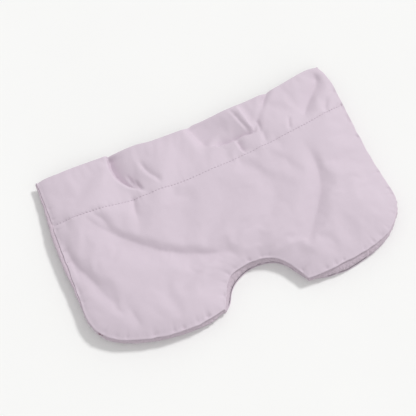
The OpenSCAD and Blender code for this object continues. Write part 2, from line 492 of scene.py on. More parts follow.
# Folds and creases, each along a smooth line through some places on the laid case: its depth, how
# far it reaches to the left and to the right of the line, how much of the line it takes to come in
# and to die away, how flat its bottom is, and the places. A negative depth raises the cloth.
FOLDS = [
    (1.7, 4.5, 9, 0.15, 0.35, 1.6, [(-98, 39), (-88, 22), (-71, 3), (-51, -15), (-30, -26),
                                    (-13, -32), (0, -36)]),
    (2.1, 5, 9, 0.08, 0.7, 1.6, [(-119, 28), (-117, 12), (-113, -1), (-109, -10), (-106, -20),
                                 (-102, -32), (-98, -44), (-94, -56)]),
    (2.0, 5.5, 8, 0.25, 0.35, 1.6, [(74, 30), (77, 8), (72, -14), (60, -31), (49, -44), (40, -56)]),
    (8.0, 11, 1.4, 0.25, 0.25, 1.15, [(-60, 77), (-61, 72), (-62, 66), (-61, 56), (-55, 45),
                                      (-45, 35)]),
    (1.9, 3.2, 2, 0.3, 0.3, 1.6, [(-42, 64), (-40, 55), (-38, 48), (-34, 40), (-33, 34)]),
    (2.6, 1.8, 1.3, 0.4, 0.3, 1.6, [(-50, 49), (-49, 43), (-48, 36)]),
    (2.2, 1.6, 1.2, 0.4, 0.3, 1.6, [(-54, 56), (-52, 48), (-50, 40)]),
    (4.2, 23, 5, 0.3, 0.3, 2.0, [(4, 76), (6, 68), (9, 58), (13, 49)]),
    (1.8, 2.0, 1.2, 0.4, 0.2, 1.6, [(37, 74), (39, 66), (41, 58), (44, 48)]),
    (-3.4, 2.6, 15, 0.3, 0.25, 1.3, [(44, 74), (44, 67), (45, 60), (46, 53), (48, 46)]),
    (5.0, 8, 1.1, 0.3, 0.2, 1.1, [(10, 50), (24, 47), (36, 47), (50, 46)]),
    (3.0, 4, 1.1, 0.3, 0.3, 1.6, [(31, 46), (32, 42), (32, 37), (34, 32)]),
    (1.8, 1.5, 1.5, 0.3, 0.3, 1.6, [(53, 56), (53, 50), (51, 44)]),
    (1.2, 2, 3, 0.2, 0.5, 1.6, [(45, 46), (53, 54), (60, 64)]),
    (1.2, 2, 2, 0.4, 0.4, 1.6, [(53, 44), (51, 34)]),
    (3.2, 3, 3, 0.15, 0.4, 1.6, [(75, 84), (72, 76), (66, 69), (58, 58)]),
    (3.5, 5.5, 6, 0.2, 0.25, 1.6, [(113, 78), (110, 68), (101, 59), (92, 50), (84, 38)]),
    (1.4, 2.5, 3, 0.4, 0.3, 1.6, [(113, 54), (107, 46), (103, 38)]),
    (2.0, 1.6, 1.6, 0.4, 0.3, 1.6, [(77, 48), (74, 42), (72, 36)]),
    (1.8, 3, 3, 0.15, 0.6, 1.6, [(-56, 35), (-59, 24), (-60, 10)]),
    (0.7, 5, 6, 0.3, 0.6, 1.6, [(-30, 33), (-26, 22), (-12, 10)]),
    (0.7, 5, 5, 0.4, 0.4, 1.6, [(58, 22), (59, 2)]),
    (1.2, 3, 4, 0.3, 0.5, 1.6, [(-90, 36), (-83, 26), (-80, 14)]),
    (0.6, 3, 4, 0.4, 0.4, 1.6, [(-92, -42), (-90, -52), (-89, -62)]),
]
TUCKS = [48, 62, 80, 97, -63, -50]     # places along the foot where the seam has caught a tuck


def curve_through(places, count=40):
    """Points along a smooth curve through the given places."""
    p = np.array(places, float)
    p = np.concatenate([[2 * p[0] - p[1]], p, [2 * p[-1] - p[-2]]])
    spans = len(p) - 3
    found = []
    for t in np.linspace(0, spans, count):
        i = min(int(t), spans - 1)
        f = t - i
        a, b, c, d = p[i : i + 4]
        found.append(0.5 * (2 * b + (c - a) * f + (2 * a - 5 * b + 4 * c - d) * f**2
                            + (3 * b - a - 3 * c + d) * f**3))
    return np.array(found)


SHOULDER = 0.25        # how far a fold's shoulders rise, as a share of its depth
SHOULDER_REACH = 2.1   # how far they reach, as a share of its width


def fold_depth(xy, depth, left, right, fade_in, fade_out, flat, way):
    """How far a fold sinks the cloth at each place."""
    curve = curve_through(way)
    a, step = curve[:-1], np.diff(curve, axis=0)
    reach = 4 * max(left, right)
    near = ((xy > curve.min(0) - reach) & (xy < curve.max(0) + reach)).all(1)
    p = xy[near][:, None, :]
    t = np.clip(((p - a) * step).sum(2) / (step**2).sum(1), 0, 1)
    off = p - a - t[..., None] * step
    gap = np.linalg.norm(off, axis=2)
    share = np.exp((gap.min(1, keepdims=True) - gap) / 1.2)
    share /= share.sum(1, keepdims=True)
    across = (step[:, 0] * off[..., 1] - step[:, 1] * off[..., 0]) / np.linalg.norm(step, axis=1)
    side = (across * share).sum(1)
    along = ((np.arange(len(a)) + t) * share).sum(1) / len(a)
    gap = (gap * share).sum(1)
    width = left + (right - left) * smooth(0.5, -0.5, side / min(left, right))
    shape = (1 + SHOULDER) * np.exp(-((gap / width) ** flat))
    shape = shape - SHOULDER * bell(gap, SHOULDER_REACH * width)
    shape = shape * smooth(0, fade_in, along) * smooth(1, 1 - fade_out, along)
    found = np.zeros(len(xy))
    found[near] = depth * shape
    return found


def hem_pull(panel):
    """How far the stitches and the wrinkles across them draw the cloth in at the hem."""
    u, v = panel.flat.T
    beside = v - STITCH_Y
    holes = 0.5 + 0.5 * np.cos(2 * math.pi * u / STITCH_PITCH)
    tight = 0.35 + 0.65 * np.maximum(smooth(-55, -75, u), smooth(70, 90, u))
    pull = 0.6 * bell(beside, 0.75) * (0.35 + 0.65 * holes) * tight
    wrinkles = 0.36 * rough_along(u, size=4.2, seed=9) + 0.18 * rough_along(u, size=1.9, seed=10)
    return pull + 0.25 * bell(beside, 2.5) + wrinkles * np.exp(-np.abs(beside) / 4.5)


def seam_puckers(panel):
    """How far the seam's stitches draw the cloth in, more at some places than at others."""
    dents = 2.4 * np.clip(rough_along(panel.place, size=4.2, seed=7) - 0.05, 0, 1) ** 1.3
    dents += 0.25 * rough_along(panel.place, size=2.0, seed=8)
    x, y = panel.flat.T
    off = panel.gap - BEAD_R
    for tuck in TUCKS:
        way = tuck + 0.5 * rough_along(off, size=3, seed=tuck)
        near = bell(x - way, 1.1 + 0.2 * np.maximum(off, 0))
        dents += 1.3 * near * (y < -50) * np.exp(-np.maximum(off, 0) / 2)
    return 1.5 * dents * smooth(-0.2, 1.0, off) * np.exp(-np.maximum(off, 0) / 2.4)


def creased(points, panel):
    """The front panel with its folds, its seams' puckers and the pull of the hem stitches."""
    z = np.zeros(len(points))
    for fold in FOLDS:
        z -= fold_depth(points[:, :2], *fold)
    z *= smooth(0.5, 8 - 3 * left_side(panel.place), panel.gap)
    z -= seam_puckers(panel) + hem_pull(panel)
    return points + lift_z(z)


# ======== cloth simulation
SIM_UNIT = 0.01        # metres in the simulation for each millimetre: the cloth is a common size
CLOTH_STIFFNESS = 15.0


def make_cloth(trial, ease, pressure, frames):
    """Makes an object a cloth without weight, slack by ease and pressed outwards."""
    cloth = trial.modifiers.new("cloth", "CLOTH")
    rules = cloth.settings
    rules.vertex_group_mass = "pinned"
    rules.quality = 6
    rules.mass = 0.3
    rules.tension_stiffness = CLOTH_STIFFNESS
    rules.compression_stiffness = CLOTH_STIFFNESS
    rules.shear_stiffness = CLOTH_STIFFNESS / 3
    rules.bending_stiffness = 0.5
    rules.shrink_min = -ease
    rules.shrink_max = -ease
    rules.use_pressure = pressure > 0
    rules.uniform_pressure_force = pressure
    rules.effector_weights.gravity = 0
    cloth.collision_settings.use_collision = False
    cloth.point_cache.frame_start = 1
    cloth.point_cache.frame_end = frames


def settled(points, faces, pinned, frames, cap, ease, pressure=0.0):
    """Points of a cloth after some frames of simulation, each moved by cap at the most."""
    mesh = bpy.data.meshes.new("cloth_trial")
    mesh.from_pydata((np.asarray(points) * SIM_UNIT).tolist(), [], faces)
    trial = bpy.data.objects.new("cloth_trial", mesh)
    bpy.context.scene.collection.objects.link(trial)
    group = trial.vertex_groups.new(name="pinned")
    group.add([int(i) for i in pinned], 1, "REPLACE")
    make_cloth(trial, ease, pressure, frames)
    scene = bpy.context.scene
    for number in range(1, frames + 1):
        scene.frame_set(number)
    result = trial.evaluated_get(bpy.context.evaluated_depsgraph_get()).to_mesh()
    moved = np.empty(len(points) * 3)
    result.vertices.foreach_get("co", moved)
    bpy.data.objects.remove(trial)
    bpy.data.meshes.remove(mesh)
    scene.frame_set(1)
    way = moved.reshape(-1, 3) / SIM_UNIT - points
    length = np.linalg.norm(way, axis=1, keepdims=True)
    return points + way * np.minimum(1, cap / np.maximum(length, 1e-9))


def carried(values, places, new_places, reach=2.2):
    """Values known at some flat places, smoothly carried to new ones."""
    tree = KDTree(len(places))
    for i, (x, y) in enumerate(places):
        tree.insert((x, y, 0), i)
    tree.balance()
    found = np.zeros((len(new_places), values.shape[1]))
    for row, (x, y) in enumerate(new_places):
        near = tree.find_n((x, y, 0), 8)
        weight = np.array([math.exp(-((gap / reach) ** 2)) for _, _, gap in near]) + 1e-9
        found[row] = weight @ values[[i for _, i, _ in near]] / weight.sum()
    return found


def front_wrinkles(panel):
    """The front panel's small wrinkles, from a simulation of a coarser one, held by its edges."""
    coarse = Panel(CASE, BEAD_CUTS, SIM_GRID)
    start = creased(front_shape(coarse), coarse)
    held = np.concatenate([np.arange(coarse.rings), coarse.mouth])
    end = settled(start, coarse.faces, held, frames=18, cap=2.5, ease=0.012)
    calm = 0.25 + 0.65 * smooth(3, 18, panel.gap)
    return carried(end - start, coarse.flat, panel.flat) * calm[:, None]


# ======== meshes of cloth
def fold_row(points, radius, turns, outwards, down):
    """Rows of points round a fold, which starts at points and turns outwards and then under."""
    rows = []
    for turn in turns:
        rows.append(points + radius * math.sin(math.radians(turn)) * outwards
                    + radius * (1 - math.cos(math.radians(turn))) * down)
    return rows


def add_rows(points, faces, first_row, rows):
    """Joins rows of new points on to a row of points that a mesh already has."""
    last = list(first_row)
    for row in rows:
        start = len(points)
        points = np.concatenate([points, row])
        fresh = list(range(start, start + len(row)))
        faces = faces + [(last[i], last[i + 1], fresh[i + 1], fresh[i])
                         for i in range(len(last) - 1)]
        last = fresh
    return points, faces


def tree_of(points, faces):
    return BVHTree.FromPolygons([Vector(p) for p in points], faces)


def height_at(tree, x, y, fallback):
    """Height of the lowest sheet that lies over a place."""
    hit = tree.ray_cast(Vector((x, y, -40)), Vector((0, 0, 1)))[0]
    return hit.z if hit else fallback


FOLD_R = 0.55
FOLD_TURNS = [30, 60, 90, 120, 150, 180]
HEM_STEP = 2.0
HEM_TAPER = 3 / MOUTH_HALF_W      # how much narrower the turned-in layer is, to fit inside
HEM_LAP = 2.1 * FOLD_R            # from the panel to the turned-in layer


def hem_rows(points, faces, mouth, side):
    """The panel with the hem that is turned in at its mouth: a fold, and a layer that follows it
    inside. side is 1 for a panel whose inside is below it, and -1 for one whose inside is above.
    The last of the three results is the flat pattern of the hem."""
    tree = tree_of(points, faces)
    rows = fold_row(points[mouth], FOLD_R, FOLD_TURNS, np.array([0, 1, 0]), np.array([0, 0, -side]))
    edge = rows[-1]
    for step in np.arange(HEM_STEP, HEM_W + 0.1, HEM_STEP):
        row = edge.copy()
        row[:, 0] *= 1 - HEM_TAPER * smooth(0, 6, step)
        row[:, 1] -= step
        for p, before in zip(row, edge):
            p[2] = height_at(tree, p[0], p[1], before[2] + side * HEM_LAP) - side * HEM_LAP
        rows.append(row)
    points, faces = add_rows(points, faces, mouth, rows)
    across = points[mouth][:, 0]
    cut = [np.column_stack([across, np.full(len(mouth), MOUTH_Y + 1 + i)])
           for i in range(len(rows))]
    return points, faces, np.concatenate(cut)


def tubes(lines, radius, sides=6):
    """Round threads along some lines of points, with pointed ends."""
    points, faces = [], []
    for way in lines:
        way = np.asarray(way, float)
        along = np.gradient(way, axis=0)
        along /= np.linalg.norm(along, axis=1, keepdims=True)
        across = np.cross(along, [0.0, 0.0, 1.0])
        short = np.linalg.norm(across, axis=1, keepdims=True)
        across = np.where(short > 0.05, across / np.maximum(short, 1e-9), [1.0, 0.0, 0.0])
        over = np.cross(across, along)
        first = len(points)
        for place, a, b in zip(way, across, over):
            for k in range(sides):
                turn = 2 * math.pi * k / sides
                points.append(place + radius * (math.cos(turn) * a + math.sin(turn) * b))
        last = len(way) - 1
        for i in range(last):
            for k in range(sides):
                p, q = first + i * sides + k, first + i * sides + (k + 1) % sides
                faces.append((p, p + sides, q + sides, q))
        faces.append(tuple(first + k for k in range(sides)))
        faces.append(tuple(first + last * sides + k for k in reversed(range(sides))))
    return np.array(points), faces


def stitches(way, lift, length, radius):
    """Short threads along a line. Each bows out of the cloth along lift, and its ends sink in."""
    way = np.asarray(way, float)
    place = lengths_along(way)
    lines = []
    for middle in np.arange(STITCH_PITCH, place[-1] - STITCH_PITCH / 2, STITCH_PITCH):
        at = middle + length * np.linspace(-0.5, 0.5, 7)
        line3 = np.column_stack([np.interp(at, place, column) for column in way.T])
        bow = radius * np.array([-1.2, -0.1, 0.55, 0.75, 0.55, -0.1, -1.2])
        lines.append(line3 + bow[:, None] * lift)
    return tubes(lines, radius)


# ======== materials
def new_material(name, colour, roughness):
    made = bpy.data.materials.new(name)
    made.use_nodes = True
    shader = made.node_tree.nodes["Principled BSDF"]
    shader.inputs["Base Color"].default_value = (*colour, 1)
    shader.inputs["Roughness"].default_value = roughness
    return made, made.node_tree, shader


def add_node(tree, kind, **settings):
    """A node with some of its sockets or properties set."""
    node = tree.nodes.new("ShaderNode" + kind)
    for name, value in settings.items():
        if name in node.inputs:
            node.inputs[name].default_value = value
        else:
            setattr(node, name, value)
    return node


def noise_of(tree, where, scale, detail=2.0):
    node = add_node(tree, "TexNoise", Scale=scale, Detail=detail)
    tree.links.new(where, node.inputs["Vector"])
    return node.outputs["Fac"]


def streaks_of(tree, where, width, length):
    """Noise drawn out into streaks: width and length are in the units of the place given."""
    drawn = add_node(tree, "Mapping", Scale=(1 / length, 1 / width, 1))
    tree.links.new(where, drawn.inputs["Vector"])
    return noise_of(tree, drawn.outputs["Vector"], 1.0)


def bands_of(tree, where, period, direction, bend=0.6):
    """Fine ridges a given distance apart, in the units of the place given."""
    node = add_node(tree, "TexWave", bands_direction=direction,
                    Scale=0.314 / period, Distortion=bend)
    tree.links.new(where, node.inputs["Vector"])
    return node.outputs["Fac"]


def maths(tree, operation, a, b):
    node = add_node(tree, "Math", operation=operation)
    for socket, value in zip(node.inputs, (a, b)):
        if isinstance(value, (int, float)):
            socket.default_value = value
        else:
            tree.links.new(value, socket)
    return node.outputs["Value"]


def weighted(tree, *parts):
    """The sum of some values, each with its weight."""
    total = maths(tree, "MULTIPLY", *parts[0])
    for value, weight in parts[1:]:
        total = maths(tree, "ADD", total, maths(tree, "MULTIPLY", value, weight))
    return total


def colour_between(tree, shader, factor, dark, light):
    ramp = add_node(tree, "ValToRGB")
    ramp.color_ramp.elements[0].position = 0.3
    ramp.color_ramp.elements[0].color = (*dark, 1)
    ramp.color_ramp.elements[1].position = 0.7
    ramp.color_ramp.elements[1].color = (*light, 1)
    tree.links.new(factor, ramp.inputs["Fac"])
    tree.links.new(ramp.outputs["Color"], shader.inputs["Base Color"])


def bumped(tree, shader, height, strength, distance):
    bump = add_node(tree, "Bump", Strength=strength, Distance=distance * MM)
    tree.links.new(height, bump.inputs["Height"])
    tree.links.new(bump.outputs["Normal"], shader.inputs["Normal"])


def shade(colour, factor):
    return tuple(c * factor for c in colour)


def woven(name, colour, roughness, thread, slub, sheen, vary, crush=0.0):
    """Cloth with threads both ways that follow the cut, some thicker than others, and uneven dye.
    crush adds the small hard gathers of a strip that is eased into a curved seam, with painted
    shade in their hollows."""
    made, tree, shader = new_material(name, colour, roughness)
    shader.inputs["Sheen Weight"].default_value = sheen
    shader.inputs["Sheen Roughness"].default_value = 0.4
    shader.inputs["Specular IOR Level"].default_value = 0.3
    cut = add_node(tree, "UVMap", uv_map="cut").outputs["UV"]
    solid = add_node(tree, "TexCoord").outputs["Object"]
    warp = bands_of(tree, cut, thread, "X")
    weft = bands_of(tree, cut, thread, "Y")
    weave = maths(tree, "MULTIPLY", warp, weft)
    across = streaks_of(tree, cut, width=0.9 / slub, length=14)
    along = streaks_of(tree, cut, width=11, length=0.7 / slub)
    slubs = weighted(tree, (across, 0.5), (along, 0.5))
    pile = noise_of(tree, solid, scale=1400)
    height = weighted(tree, (weave, 0.5), (slubs, 1.0), (pile, 0.6))
    patches = noise_of(tree, solid, scale=45, detail=4)
    tone = weighted(tree, (patches, 0.4), (slubs, 0.6))
    if crush:
        gathers = noise_of(tree, cut, scale=1.0, detail=3)
        height = weighted(tree, (height, 1.0), (gathers, crush))
        # The colour follows the gathers: darker where they sink, as painted shade.
        tone = weighted(tree, (tone, 0.3), (gathers, 0.7))
    bumped(tree, shader, height, 0.5, 0.12)
    colour_between(tree, shader, tone, shade(colour, 1 - vary), shade(colour, 1 + vary))
    return made


def twisted(name, colour, period):
    """Thread with a twist that shows as fine slanting ridges."""
    made, tree, shader = new_material(name, colour, 0.5)
    shader.inputs["Sheen Weight"].default_value = 0.2
    solid = add_node(tree, "TexCoord").outputs["Object"]
    twist = bands_of(tree, solid, period * MM, "DIAGONAL", 1.5)
    bumped(tree, shader, twist, 0.6, 0.05)
    # The colour darkens along the twist's grooves and lightens on its ridges: painted shade and
    # highlight.
    colour_between(tree, shader, twist, shade(colour, 0.85), shade(colour, 1.08))
    return made


def satin(name, colour):
    made, tree, shader = new_material(name, colour, 0.32)
    shader.inputs["Anisotropic"].default_value = 0.5
    shader.inputs["Sheen Weight"].default_value = 0.1
    cut = add_node(tree, "UVMap", uv_map="cut").outputs["UV"]
    floats = bands_of(tree, cut, 0.25, "X", 0.3)
    bumped(tree, shader, floats, 0.3, 0.03)
    colour_between(tree, shader, noise_of(tree, cut, 0.6, 3), shade(colour, 0.96), colour)
    return made


def seedy(name, dark, light):
    """A mass of small glossy seeds."""
    made, tree, shader = new_material(name, dark, 0.3)
    shader.inputs["Coat Weight"].default_value = 0.3
    solid = add_node(tree, "TexCoord").outputs["Object"]
    cells = add_node(tree, "TexVoronoi", Scale=420.0)
    tree.links.new(solid, cells.inputs["Vector"])
    bumped(tree, shader, maths(tree, "SUBTRACT", 1.0, cells.outputs["Distance"]), 0.9, 0.8)
    tint = add_node(tree, "SeparateColor")
    tree.links.new(cells.outputs["Color"], tint.inputs["Color"])
    colour_between(tree, shader, tint.outputs["Red"], dark, light)
    return made


lilac = woven("lilac_microfibre", (0.632, 0.544, 0.617),
              roughness=0.7, thread=0.32, slub=1.1, sheen=0.15, vary=0.02)
# The band's lilac is a darker copy of the panels' lilac, with wide mottling that follows its
# gathers: painted shade.
lilac_gathered_painted_shade = woven("lilac_gathered_painted_shade", (0.575, 0.482, 0.552),
                       roughness=0.7, thread=0.32, slub=1.1, sheen=0.15, vary=0.14, crush=8.0)
lilac_thread = twisted("lilac_thread", (0.47, 0.39, 0.45), period=0.3)
knot_thread = twisted("knot_thread", (0.24, 0.12, 0.17), period=0.3)
calico = woven("calico", (0.78, 0.73, 0.62),
               roughness=0.85, thread=0.55, slub=0.5, sheen=0.05, vary=0.06)
calico_thread = twisted("calico_thread", (0.88, 0.86, 0.8), period=0.35)
label_satin = satin("label_satin", (0.85, 0.85, 0.83))
seeds = seedy("seeds", (0.10, 0.045, 0.02), (0.26, 0.14, 0.07))


def plaster():
    made, tree, shader = new_material("floor_white", (0.88, 0.88, 0.87), 0.9)
    solid = add_node(tree, "TexCoord").outputs["Object"]
    colour_between(tree, shader, noise_of(tree, solid, 6, 3),
                   (0.875, 0.875, 0.865), (0.89, 0.89, 0.88))
    return made


floor_white = plaster()


def mesh_piece(name, node, points, faces, look, body, cut=None):
    """A new piece from points in millimetres, which rides on a body and stands in for a CAD node.
    cut is its flat pattern."""
    mesh = bpy.data.meshes.new(name)
    mesh.from_pydata((np.asarray(points, float) * MM).tolist(), [],
                     [tuple(map(int, face)) for face in faces])
    mesh.update()
    pattern = np.asarray(points)[:, :2] if cut is None else cut
    corners = np.empty(len(mesh.loops), int)
    mesh.loops.foreach_get("vertex_index", corners)
    mesh.uv_layers.new(name="cut").data.foreach_set("uv", pattern[corners].ravel())
    piece = bpy.data.objects.new(name, mesh)
    bpy.context.scene.collection.objects.link(piece)
    mesh.materials.append(look)
    mesh.shade_smooth()
    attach(piece, body)
    if node:
        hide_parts(node)
    if body == "case":
        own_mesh(piece)
    return piece


def case_threads(name, node, *parts):
    """One piece of the case's thread, from the points and faces of each of its parts."""
    faces, count = [], 0
    for points, more in parts:
        faces += shifted(more, count)
        count += len(points)
    points = np.concatenate([points for points, _ in parts])
    mesh_piece(name, node, points, faces, lilac_thread, "case")


def thicken(piece, thickness=CLOTH_T):
    """Gives a cloth its thickness, on its inner side."""
    solid = piece.modifiers.new("thick", "SOLIDIFY")
    solid.thickness = thickness * MM
    solid.offset = -1


# ======== the case
front = Panel(CASE, BEAD_CUTS, GRID, fine_y=STITCH_Y)
front_points = creased(front_shape(front), front)
front_points += front_wrinkles(front)
front_tree = tree_of(front_points, front.faces)


def front_panel():
    points, faces, turned = hem_rows(front_points, front.faces, front.mouth, 1)
    cut = np.concatenate([front.flat, turned])
    piece = mesh_piece("front_panel", "case_front_panel", points, faces,
                       lilac, "case", cut)
    thicken(piece)


UP = np.array([0, 0, 1])
HEM_DEPTH = CLOTH_T * 2 + 1.1      # from the top of the hem to the stitches on its underside


def front_stitches():
    on_line = (np.abs(front.flat[:, 1] - STITCH_Y) < 1e-3) & (front.gap > BEAD_R + 0.5)
    row = np.flatnonzero(on_line)
    row = front_points[row[np.argsort(front.flat[row, 0])]]
    upper = stitches(row, UP, length=1.6, radius=0.19)
    lower = stitches(row - [0, 0, HEM_DEPTH], -UP, length=1.7, radius=0.21)
    case_threads("front_hem_stitches", "hem_stitching_front", upper, lower)


def back_shape(panel):
    """The back panel's points. It lies flat, and its edge turns up to the band."""
    xy = panel.flat.copy()
    rings, which = rim_of(panel)
    xy[: panel.rings] = CASE.points[which] - CASE.out[which] * (BEAD_INSETS[rings][:, None] + 0.1)
    lumps = 1 + rough(with_z(panel.flat, 0), size=9, seed=4)
    z = 0.25 * smooth(0, 8, panel.gap) * lumps + 0.5 * seam_puckers(panel)
    z[: panel.rings] = 2 * BEAD_R - BEAD_RISES[rings]
    z += 0.2 * bell(panel.flat[:, 1] - STITCH_Y, 0.9) * smooth(0, 3, panel.gap)
    z = np.maximum(z, 0.05)
    return with_z(xy + drift_below(xy), 0) + lift_z(z)


def back_panel():
    panel = Panel(CASE, BEAD_CUTS, BACK_GRID)
    points = back_shape(panel)
    faces = [face[::-1] for face in panel.faces]
    points, faces, turned = hem_rows(points, faces, panel.mouth[::-1], -1)
    cut = np.concatenate([panel.flat, turned])
    piece = mesh_piece("back_panel", "case_back_panel", points, faces,
                       lilac, "case", cut)
    thicken(piece)


def back_stitches():
    x = np.arange(3 - MOUTH_HALF_W, MOUTH_HALF_W - 2, STITCH_PITCH)
    flat = np.column_stack([x, np.full(len(x), STITCH_Y)])
    flat = flat + drift_below(flat)
    outer = stitches(with_z(flat, 0.35), -UP, length=1.7, radius=0.21)
    inner = stitches(with_z(flat, 1.9), UP, length=1.7, radius=0.21)
    case_threads("back_hem_stitches", "hem_stitching_back", outer, inner)


def band_lines():
    """The band's upper and lower edges."""
    base = CASE.points
    size = edge_size(CASE.place)
    top = base - CASE.out * (CREASE_INSET * size)[:, None]
    top = top + drift(top, CASE.place, CREASE_INSET * size)
    low = base - CASE.out * (CREASE_INSET + 0.1)
    low = low + drift_below(low)
    top = with_z(top, 0) + lift_z(seam_height(*base.T) + BEAD_RISES[0] * size)
    return top, with_z(low, BACK_SEAM_Z)


SQUARE = 0.45          # how square the band's outer edge is on the left, where 1 is round


def band_surface():
    """The band's rows of points: it swells a little between its seams and leans out on the left."""
    top, low = band_lines()
    notch = smooth(38, 30, np.abs(CASE.points[:, 0]))
    bulge = eased(CASE.points[:, 1], *BAND_BULGE)
    left = left_side(CASE.place)
    right = left_side(CASE.place[-1] - CASE.place)
    swell = 1.4 - 0.5 * notch - 1.0 * right + left * (bulge - 1.4)
    place = CASE.place
    gathers = 0.6 * rough_along(place, size=1.5, seed=5)
    gathers += 0.6 * rough_along(place, size=3.4, seed=6)
    rows = []
    for t in np.linspace(0, 1, BAND_ROWS):
        side = math.sin(math.pi * t)
        level = math.copysign(abs(math.cos(math.pi * t)) ** SQUARE, 0.5 - t)
        fall = left * (0.5 - 0.5 * level) + (1 - left) * t
        row = top + (low - top) * fall[:, None]
        round_out = left * side**SQUARE + (1 - left) * side**1.3
        tucked = (1 - left) * (0.9 * math.exp(-t / 0.08) + 0.5 * math.exp((t - 1) / 0.08))
        slant = 0.5 * rough_along(place + 9 * t, size=2.2, seed=12)
        slant += 0.3 * rough_along(place - 7 * t, size=0.9, seed=13)
        loose = side * (1 - 0.5 * left - 0.7 * right) * (gathers + slant)
        row[:, :2] += CASE.out * (swell * round_out - tucked + 0.8 * loose)[:, None]
        rows.append(row)
    return rows


def side_band():
    rows = band_surface()
    count = len(CASE.points)
    faces = [(a, d, c, b) for a, b, c, d in grid_faces(len(rows), count)]
    across = np.linspace(0, BAND_W, len(rows))
    cut = np.concatenate([np.column_stack([CASE.place, np.full(count, y)]) for y in across])
    piece = mesh_piece("band", "side_band", np.concatenate(rows), faces,
                       lilac_gathered_painted_shade, "case", cut)
    thicken(piece)


def side_stitches():
    rows = np.array(band_surface())
    level = np.abs(CASE.points[:, 1] - STITCH_Y)
    middle = len(level) // 2
    sides = []
    for k in (level[:middle].argmin(), middle + level[middle:].argmin()):
        out = np.append(CASE.out[k], 0)
        way = rows[1:-1, k] + out * 0.05
        sides.append(stitches(resampled(way, 0.5), out, length=1.5, radius=0.17))
    case_threads("side_hem_stitches", "hem_stitching_sides", *sides)


def overlock(name, node, seam, drop):
    """Cut edges of a seam inside the case, bound by a looping thread. They point along drop."""
    keep = (CASE.points[:, 1] < MOUTH_Y - HEM_W) | (np.abs(CASE.points[:, 0]) < 60)
    line3 = resampled(seam[keep], OVERLOCK_STEP)
    inwards = -resampled(with_z(CASE.out[keep], 0), 1.0)
    old, new = np.linspace(0, 1, len(inwards)), np.linspace(0, 1, len(line3))
    inwards = np.column_stack([np.interp(new, old, column) for column in inwards.T])
    inwards /= np.linalg.norm(inwards, axis=1, keepdims=True)
    root = line3 + inwards * 0.8
    edge = root + drop * OVERLOCK_W + inwards * 0.3
    edge[:, 2] += 0.15 * rough_along(np.arange(len(edge)) * OVERLOCK_STEP, size=4, seed=11)
    half = inwards * 0.42
    strip = np.concatenate([root - half, edge - half, edge + half, root + half])
    n = len(root)
    faces = [(r * n + i, r * n + i + 1, ((r + 1) % 4) * n + i + 1, ((r + 1) % 4) * n + i)
             for r in range(4) for i in range(n - 1)]
    faces += [(0, n, 2 * n, 3 * n), (4 * n - 1, 3 * n - 1, 2 * n - 1, n - 1)]
    thread = []
    wrap = half * 1.35
    for i in range(0, n - 2, 2):
        thread += [root[i] - wrap[i] + drop, edge[i] - wrap[i], edge[i + 1] + wrap[i + 1],
                   root[i + 1] + wrap[i + 1] + drop, edge[i + 1] + wrap[i + 1] * 1.05]
    loops = tubes([resampled(np.array(thread), 0.9)], radius=0.16, sides=5)
    case_threads(name, node, (strip, faces), loops)


def overlocks():
    top, low = band_lines()
    overlock("upper_overlock", "upper_seam_overlock", top, -UP)
    overlock("lower_overlock", "lower_seam_overlock", low - [0, 0, 0.9], UP)


LABEL_T = 0.15


def care_label():
    """A blank satin tag, folded over, caught in the seam and lying on the back panel."""
    low, high = box_mm("care_label")
    length, width = (high - low)[:2]
    along = np.linspace(0, 1, 15)
    curl = 0.35 + 0.9 * along**2
    turn = np.radians(np.linspace(-90, 90, 9))
    loop = [(a * length, c) for a, c in zip(along, curl)]
    loop += [(length + 0.35 * math.cos(t), curl[-1] + 0.35 + 0.35 * math.sin(t)) for t in turn]
    loop += [(a * length, c + 0.7) for a, c in zip(along[::-1], curl[::-1])]
    across = np.linspace(0, width, 8)
    points = [(low[0] + x, low[1] + y, low[2] + z) for y in across for x, z in loop]
    n = len(loop)
    faces = grid_faces(len(across), n)
    place = lengths_along(loop)
    cut = np.array([(p, y) for y in across for p in place])
    piece = mesh_piece("care_label_tag", "care_label", points, faces,
                       label_satin, "case", cut)
    thicken(piece, LABEL_T)


KNOT_PLACE = 128       # along the outline from the left mouth corner
KNOT_R = 0.65


def thread_end():
    """A small dark knot at the end of the seam, at the lower left corner."""
    k = np.abs(CASE.place - KNOT_PLACE).argmin()
    middle = band_lines()[0][k] + np.append(CASE.out[k] * 0.5, 0.2)
    turns = np.linspace(0, 4 * math.pi, 25)
    coil = np.column_stack([np.cos(turns), np.sin(turns), 0.8 * np.sin(1.5 * turns)])
    coil = middle + KNOT_R * coil
    tail = curve_through([coil[-1], coil[-1] + [0.5, -0.8, -0.5], coil[-1] + [0.2, -1.7, -1.5]], 8)
    points, faces = tubes([coil, tail], 0.3)
    mesh_piece("thread_end", None, points, faces, knot_thread, "case")


front_panel()
front_stitches()
back_panel()
back_stitches()
side_band()
side_stitches()
overlocks()
care_label()
thread_end()


# ======== the insert
INSERT_T = 9.6         # thickness of the filled insert
INSERT_CLEAR = 1.5     # from the underside of the front panel's surface
CALICO_T = 0.4


def pouch_heights(panel):
    """How far the insert's two cloths stand from its middle, with the seeds lying unevenly."""
    depth = POUCH.soft_gap(panel.flat, panel.gap)
    plump = np.sqrt(np.clip(1 - np.exp(-depth / 9), 0, 1)) * INSERT_T / 2
    place = with_z(panel.flat, 0)
    lumps = 0.5 * rough(place, size=22, seed=21) + 0.16 * rough(place, size=4, seed=22)
    lumps *= smooth(0, 10, depth)
    dents = np.clip(rough_along(panel.place, size=5, seed=23), 0, 1)
    dents *= np.exp(-panel.gap / 5) * smooth(0, 2, panel.gap)
    return 0.15 + plump + lumps - 1.2 * dents


def in_case(flat):
    """Where the insert's cloth lies, since it has moved with the case round it."""
    gap, place = CASE.nearest(flat)
    return flat + (drift(flat, place, gap) + drift_below(flat)) / 2


